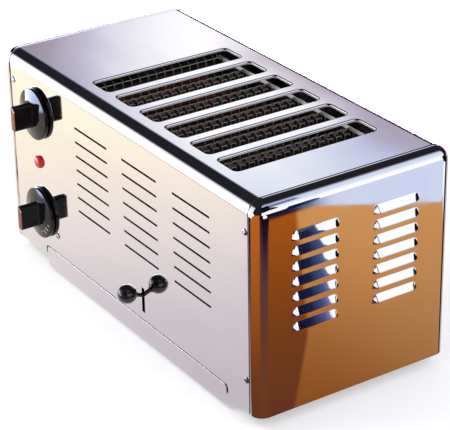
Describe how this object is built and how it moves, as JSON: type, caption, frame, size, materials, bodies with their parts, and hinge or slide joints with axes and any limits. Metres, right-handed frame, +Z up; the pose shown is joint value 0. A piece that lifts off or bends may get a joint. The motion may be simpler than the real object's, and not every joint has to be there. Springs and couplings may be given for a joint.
{
  "type": "vertical toaster",
  "caption": "Catering toaster with upright bread slots, a lift lever, a timer knob, a selector knob and a pull-out crumb tray, in a polished steel casing.",
  "frame": {"origin": "on the table, under the middle of the box that bounds the toaster at rest", "axes": "+X along the length towards the plain end, -Y is the front with the controls, +Z is up"},
  "size_m": [0.4668, 0.2492, 0.2268],
  "materials": {
    "polished_steel": "mirror polished stainless steel sheet",
    "plated_steel": "plain and plated steel sheet, wire and screws",
    "black_plastic": "glossy black moulding",
    "matt_black_plastic": "matt black moulding",
    "cream_plastic": "heat resistant moulding",
    "red_plastic": "clear red lens",
    "rubber": "moulded rubber",
    "mica": "mica sheet",
    "heating_alloy": "oxidised resistance ribbon"
  },
  "bodies": {
    "chassis": {"top_cover": "polished_steel", "end_cap_left": "polished_steel", "end_cap_right": "polished_steel", "front_panel": "polished_steel", "back_panel": "polished_steel", "base_pan": "plated_steel", "foot_front_left": "rubber", "foot_front_right": "rubber", "foot_rear_left": "rubber", "foot_rear_right": "rubber", "control_bracket": "plated_steel", "timer_unit": "cream_plastic", "selector_switch": "cream_plastic", "lamp_lens": "red_plastic", "lamp_body": "matt_black_plastic", "element_plate_front": "plated_steel", "element_plate_rear": "plated_steel", "shield_left": "plated_steel", "shield_right": "plated_steel", "element_board_1": "mica", "element_board_2": "mica", "element_board_3": "mica", "element_board_4": "mica", "element_board_5": "mica", "element_board_6": "mica", "element_board_7": "mica", "element_winding_1": "heating_alloy", "element_winding_2": "heating_alloy", "element_winding_3": "heating_alloy", "element_winding_4": "heating_alloy", "element_winding_5": "heating_alloy", "element_winding_6": "heating_alloy", "element_winding_7": "heating_alloy", "element_guard_1": "plated_steel", "element_guard_2": "plated_steel", "element_guard_3": "plated_steel", "element_guard_4": "plated_steel", "element_guard_5": "plated_steel", "element_guard_6": "plated_steel", "element_guard_7": "plated_steel", "lever_pin": "plated_steel", "lever_bracket": "plated_steel", "front_screw_1": "plated_steel", "front_screw_2": "plated_steel", "front_screw_3": "plated_steel", "front_screw_4": "plated_steel", "back_screw_1": "plated_steel", "back_screw_2": "plated_steel", "back_screw_3": "plated_steel", "back_screw_4": "plated_steel", "cable_gland": "matt_black_plastic", "terminal_block": "cream_plastic"},
    "crumb_tray": {"crumb_tray": "polished_steel"},
    "timer_knob": {"timer_shaft": "plated_steel", "timer_knob": "black_plastic"},
    "selector_knob": {"selector_shaft": "plated_steel", "selector_knob": "black_plastic"},
    "lever": {"lever_arm": "plated_steel", "lever_ball": "black_plastic"},
    "bread_rack": {"bread_rack": "plated_steel"}
  },
  "joints": [
    {"name": "rack_lift", "type": "slide", "parent": "chassis", "child": "bread_rack", "axis": [0, 0, 1], "range_m": [0, 0.0304]},
    {"name": "lever_pivot", "type": "hinge", "parent": "chassis", "child": "lever", "pos_m": [0.0345, -0.0534, 0.038], "axis": [1, 0, 0], "range_deg": [0, 17]},
    {"name": "timer_turn", "type": "hinge", "parent": "chassis", "child": "timer_knob", "pos_m": [-0.164, -0.0974, 0.174], "axis": [0, 1, 0], "range_deg": [0, 300]},
    {"name": "selector_turn", "type": "hinge", "parent": "chassis", "child": "selector_knob", "pos_m": [-0.164, -0.0974, 0.0635], "axis": [0, 1, 0], "range_deg": [0, 270]},
    {"name": "tray_slide", "type": "slide", "parent": "chassis", "child": "crumb_tray", "axis": [0, -1, 0], "range_m": [0, 0.18]}
  ],
  "couplings": [
    {"joint": "lever_pivot", "follows": "rack_lift", "rad_per_m": 9.7371}
  ]
}
